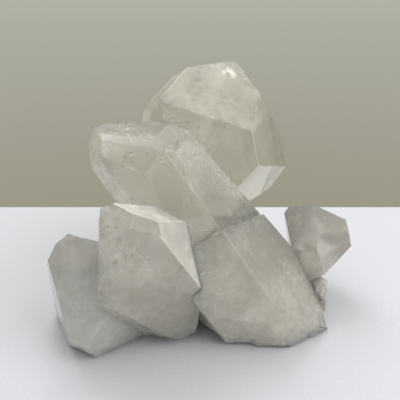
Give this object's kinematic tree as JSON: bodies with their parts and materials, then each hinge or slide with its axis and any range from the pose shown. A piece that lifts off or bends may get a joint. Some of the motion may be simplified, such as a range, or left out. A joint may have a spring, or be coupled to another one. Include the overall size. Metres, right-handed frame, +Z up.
{
  "type": "quartz crystal cluster",
  "caption": "Cluster of intergrown clear to cloudy quartz crystals standing on its broken feet, a desk or cabinet mineral specimen.",
  "frame": {"origin": "on the ground, under the middle of the cluster's bounding box", "axes": "+Z up, -Y the side the two front crystals face, +X to the right of it"},
  "size_m": [0.1092, 0.095, 0.085],
  "materials": {
    "clear_quartz": "glassy, clear with thin veils",
    "cloudy_quartz": "glassy, milky with fractures",
    "stained_quartz": "rough, brown stained"
  },
  "bodies": {
    "root": {"leaning_crystal": "clear_quartz", "front_left_crystal": "cloudy_quartz", "front_right_crystal": "cloudy_quartz", "crown_crystal": "clear_quartz", "left_crystal": "cloudy_quartz", "right_crystal": "clear_quartz", "side_knob": "stained_quartz", "root_mass": "stained_quartz"}
  },
  "joints": []
}
